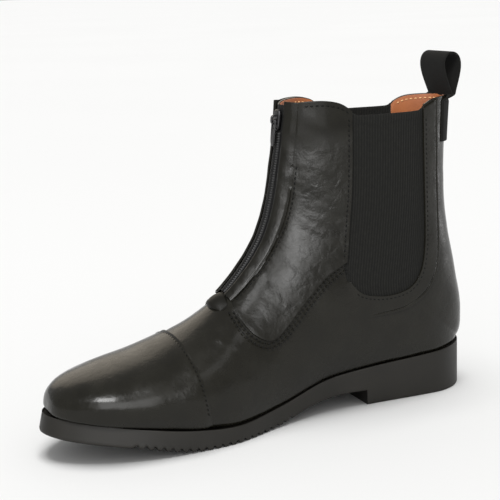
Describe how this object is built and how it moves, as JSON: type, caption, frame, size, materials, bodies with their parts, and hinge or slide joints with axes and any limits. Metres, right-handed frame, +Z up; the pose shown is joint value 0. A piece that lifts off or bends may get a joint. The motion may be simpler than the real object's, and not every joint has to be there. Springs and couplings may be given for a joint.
{
  "type": "front zip boot",
  "caption": "Right ankle boot with a front zip, elastic side gussets, toe cap, webbing pull loop and a moulded sole with a low heel.",
  "frame": {"origin": "middle of the boot's box, on the floor", "axes": "+X towards the toe, +Y towards the inner side of the foot, +Z up"},
  "size_m": [0.2889, 0.0904, 0.2222],
  "materials": {
    "leather": "smooth polished black leather",
    "elastic": "matt black ribbed elastic",
    "lining": "matt tan lining leather",
    "sole_rubber": "satin black moulded rubber",
    "webbing": "matt black woven tape",
    "zip_plastic": "black coil zip on woven tape",
    "zip_metal": "dark gunmetal with bright worn edges"
  },
  "bodies": {
    "boot": {"front_panel_inner": "leather", "front_panel_outer": "leather", "gusset_inner": "elastic", "gusset_outer": "elastic", "gusset_strap_inner": "leather", "gusset_strap_outer": "leather", "insole": "lining", "outsole": "sole_rubber", "oval_patch": "leather", "pull_loop": "webbing", "toe_cap": "leather", "upper": "leather", "zip_chain": "zip_plastic", "zip_end_roll": "leather", "zip_slider": "zip_metal"},
    "zip_pull": {"zip_pull": "zip_metal"}
  },
  "joints": [
    {"name": "zip_pull_hinge", "type": "hinge", "parent": "boot", "child": "zip_pull", "pos_m": [-0.01312, 0.0007, 0.18437], "axis": [0, -1, 0], "range_deg": [0, 165]}
  ]
}
